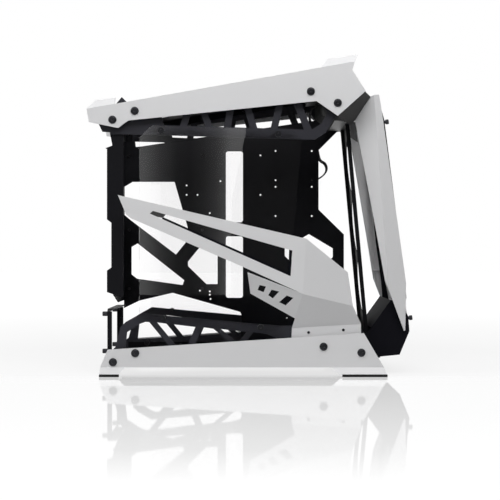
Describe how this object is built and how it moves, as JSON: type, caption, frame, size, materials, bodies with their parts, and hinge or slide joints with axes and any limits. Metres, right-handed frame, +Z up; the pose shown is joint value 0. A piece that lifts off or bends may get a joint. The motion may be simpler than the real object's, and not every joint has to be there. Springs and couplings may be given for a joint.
{
  "type": "full-tower computer case",
  "caption": "Open-frame full-tower computer case with folded white rails, black lattice sides, clear panes and a folded side wing.",
  "frame": {"origin": "centre of the overall box, at the undersides of the foot strips", "axes": "+X towards the front pane, -Y towards the window side with the wing, +Z up"},
  "size_m": [0.64, 0.3152, 0.6243],
  "materials": {
    "white_coat": "satin powder coat",
    "black_coat": "satin powder coat",
    "slate_coat": "satin powder coat",
    "grey_coat": "satin powder coat",
    "clear_pane": "polished, clear",
    "rubber": "matte",
    "wire_jacket": "satin",
    "black_steel": "black oxide",
    "socket_metal": "plain",
    "black_plastic": "fine texture"
  },
  "bodies": {
    "case": {"top_rail_left": "white_coat", "top_rail_right": "white_coat", "bottom_rail_left": "white_coat", "bottom_rail_right": "white_coat", "foot_strips": "rubber", "rail_bolts": "black_steel", "rail_spacers": "black_steel", "rail_nuts": "black_steel", "top_lattice_left": "slate_coat", "top_lattice_right": "slate_coat", "bottom_lattice_left": "slate_coat", "bottom_lattice_right": "slate_coat", "top_deck": "black_coat", "bottom_plate": "black_coat", "frame_screws": "black_steel", "motherboard_tray": "black_coat", "board_standoffs": "black_steel", "rear_panel": "black_coat", "slot_covers": "black_coat", "slot_screws": "black_steel", "power_supply_bracket": "black_coat", "power_supply_screws": "black_steel", "side_pane_left": "clear_pane", "side_pane_right": "clear_pane", "pane_posts": "black_steel", "pane_screws": "black_steel", "side_wing": "white_coat", "wing_screws": "black_steel", "front_fan_bracket": "black_coat", "front_pane": "clear_pane", "front_pane_screws": "black_steel", "front_crossbars": "black_coat", "blade_left": "white_coat", "blade_right": "white_coat", "front_upright_left": "black_coat", "front_upright_right": "black_coat", "front_top_gusset": "grey_coat", "front_cradle": "black_coat", "port_cover": "black_plastic", "port_body": "black_plastic", "front_sockets": "socket_metal", "front_panel_cable": "wire_jacket", "header_plug": "black_plastic", "cable_clips": "black_plastic"},
    "power_button": {"power_button": "black_plastic"},
    "reset_button": {"reset_button": "black_plastic"}
  },
  "joints": [
    {"name": "power_press", "type": "slide", "parent": "case", "child": "power_button", "axis": [0.1736, 0, -0.9848], "range_m": [0, 0.0015]},
    {"name": "reset_press", "type": "slide", "parent": "case", "child": "reset_button", "axis": [0.1736, 0, -0.9848], "range_m": [0, 0.0015]}
  ]
}
